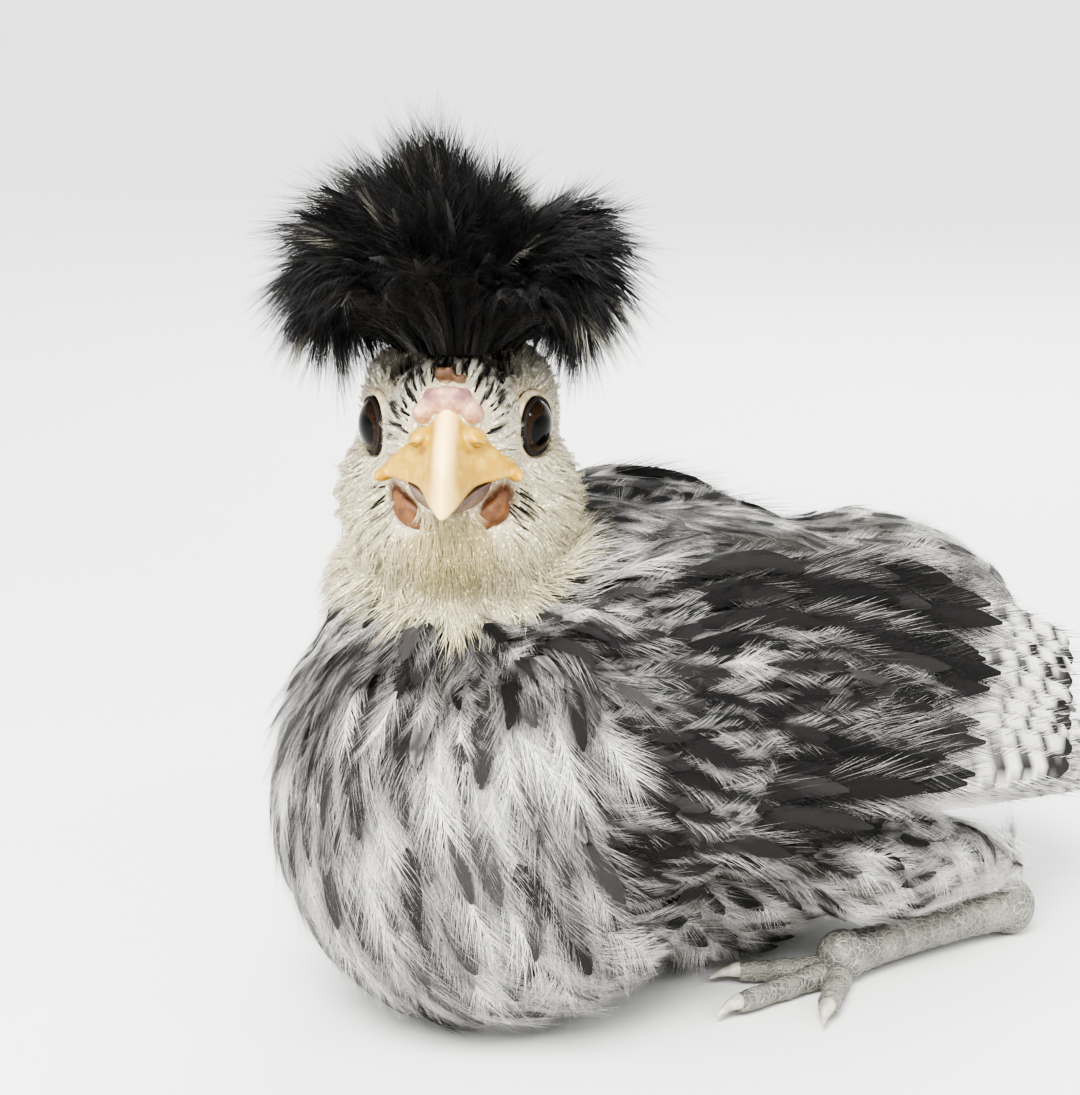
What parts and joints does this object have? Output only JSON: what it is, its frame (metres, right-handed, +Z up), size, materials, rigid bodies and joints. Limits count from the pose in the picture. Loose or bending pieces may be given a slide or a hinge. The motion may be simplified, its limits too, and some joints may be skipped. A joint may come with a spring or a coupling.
{
  "type": "crested chick",
  "caption": "Still model of a six-week-old crested spangled chick at rest on its belly, head turned, wings folded and legs tucked beneath.",
  "frame": {"origin": "middle of the bounding box's underside, on the floor", "axes": "+Y from the breast towards the tail, +X to the chick's left, +Z up"},
  "size_m": [0.0908, 0.168, 0.1345],
  "materials": {
    "plumage": "soft white feathers with black spangles and bars",
    "face_down": "short cream down",
    "crest_feathers": "black feathers with cream tips",
    "horn": "pale yellow horn, faintly glossy",
    "bare_skin": "soft pink skin",
    "eye": "wet dark brown",
    "scales": "slate scales",
    "claw_horn": "grey horn"
  },
  "bodies": {
    "root": {"torso": "plumage", "neck": "plumage", "head": "face_down", "crest": "crest_feathers", "beak_upper": "horn", "beak_lower": "horn", "comb": "bare_skin", "wattle_left": "bare_skin", "wattle_right": "bare_skin", "ear_left": "bare_skin", "ear_right": "bare_skin", "eye_left": "eye", "eye_right": "eye", "wing_left": "plumage", "wing_right": "plumage", "tail": "plumage", "thigh_left": "plumage", "thigh_right": "plumage", "shank_left": "scales", "shank_right": "scales", "foot_left": "scales", "foot_right": "scales", "claw_inner_left": "claw_horn", "claw_middle_left": "claw_horn", "claw_outer_left": "claw_horn", "claw_back_left": "claw_horn", "claw_inner_right": "claw_horn", "claw_middle_right": "claw_horn", "claw_outer_right": "claw_horn", "claw_back_right": "claw_horn"}
  },
  "joints": []
}
